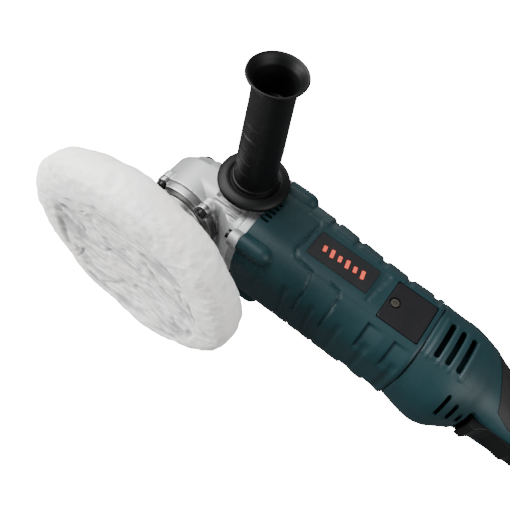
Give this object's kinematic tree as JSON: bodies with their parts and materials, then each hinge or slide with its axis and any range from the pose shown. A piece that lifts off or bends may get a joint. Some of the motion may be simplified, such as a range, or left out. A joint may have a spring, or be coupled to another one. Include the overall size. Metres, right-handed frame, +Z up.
{
  "type": "rotary polisher",
  "caption": "Corded rotary polisher: right-angle gear head, side handle, motor body with rear grip, and a wool bonnet on a round pad.",
  "frame": {"origin": "centre of the wool bonnet's working face, on the spindle axis", "axes": "+X forwards, from the grip to the gear head; +Y to the side handle; +Z up along the spindle, away from the work"},
  "size_m": [0.489, 0.2545, 0.141],
  "materials": {
    "cast_aluminium": "bead-blasted die casting",
    "turned_aluminium": "fine turned",
    "black_screws": "black oxide",
    "bright_screws": "zinc plated",
    "rubber": "matt",
    "bearing_steel": "ground",
    "bronze": "turned",
    "grey_plastic": "moulded",
    "teal_plastic": "finely textured moulding",
    "lamination_steel": "stacked sheets",
    "copper_wire": "varnished",
    "carbon": "pressed carbon",
    "spring_steel": "drawn wire",
    "charcoal_plastic": "smooth",
    "label": "smooth film",
    "soft_grip": "soft overmoulding",
    "black_plastic": "satin",
    "red_plastic": "smooth",
    "machined_steel": "ground",
    "gear_steel": "hardened",
    "hub_plastic": "moulded",
    "pad_foam": "moulded foam",
    "wool": "combed wool pile"
  },
  "bodies": {
    "housing": {"gear_case": "cast_aluminium", "gear_case_screws": "black_screws", "bearing_cover": "turned_aluminium", "bearing_cover_screws": "black_screws", "spindle_seal": "rubber", "spindle_bearing": "bearing_steel", "spindle_bush": "bronze", "front_bearing": "bearing_steel", "rear_bearing": "bearing_steel", "bearing_sleeve": "rubber", "air_baffle": "grey_plastic", "motor_housing": "teal_plastic", "stator_core": "lamination_steel", "field_windings": "copper_wire", "brush_holder_left": "bronze", "brush_holder_right": "bronze", "brush_left": "carbon", "brush_right": "carbon", "brush_spring_left": "spring_steel", "brush_spring_right": "spring_steel", "brush_cover_left": "charcoal_plastic", "brush_cover_right": "charcoal_plastic", "brush_cover_screws": "bright_screws", "label_plate": "label", "rating_plate": "label", "rear_shell_left": "teal_plastic", "rear_shell_right": "teal_plastic", "grip_inlay_left": "soft_grip", "grip_inlay_right": "soft_grip", "shell_screws": "black_screws", "switch_body": "grey_plastic", "control_module": "grey_plastic", "cord_gland": "rubber", "trigger_pin": "machined_steel", "side_handle_grip": "black_plastic", "side_handle_stud": "machined_steel", "lock_spring": "spring_steel", "trigger_spring": "spring_steel"},
    "spindle": {"spindle": "machined_steel", "crown_gear": "gear_steel", "crown_gear_clip": "black_screws", "pad_hub": "hub_plastic", "backing_pad": "pad_foam", "wool_bonnet": "wool"},
    "armature": {"armature_shaft": "machined_steel", "armature_core": "lamination_steel", "armature_windings": "copper_wire", "commutator": "copper_wire", "cooling_fan": "grey_plastic", "pinion": "gear_steel", "pinion_nut": "black_screws"},
    "lock": {"lock_button": "black_plastic", "lock_pin": "machined_steel"},
    "trigger": {"trigger": "black_plastic"},
    "lock_on": {"lock_on_button": "red_plastic"},
    "dial": {"speed_dial": "black_plastic"}
  },
  "joints": [
    {"name": "spindle_spin", "type": "hinge", "parent": "housing", "child": "spindle", "pos_m": [0, 0, 0], "axis": [0, 0, 1], "continuous": true},
    {"name": "armature_spin", "type": "hinge", "parent": "housing", "child": "armature", "pos_m": [0, 0, 0.098], "axis": [1, 0, 0], "continuous": true},
    {"name": "spindle_lock", "type": "slide", "parent": "housing", "child": "lock", "axis": [0, 0, -1], "range_m": [0, 0.0055], "stiffness_N_per_m": 900, "springref_m": -0.002, "deforming": ["lock_spring"]},
    {"name": "trigger_pull", "type": "hinge", "parent": "housing", "child": "trigger", "pos_m": [-0.351, 0, 0.075], "axis": [0, -1, 0], "range_deg": [0, 4], "stiffness_Nm_per_rad": 14, "springref_deg": -2.86, "deforming": ["trigger_spring"]},
    {"name": "lock_on_press", "type": "slide", "parent": "housing", "child": "lock_on", "axis": [0, -1, 0], "range_m": [0, 0.003], "stiffness_N_per_m": 600, "springref_m": -0.001},
    {"name": "dial_turn", "type": "hinge", "parent": "housing", "child": "dial", "pos_m": [-0.361, 0, 0.106], "axis": [0, 1, 0], "range_deg": [0, 270]}
  ],
  "couplings": [
    {"joint": "armature_spin", "follows": "spindle_spin", "ratio": -4}
  ]
}
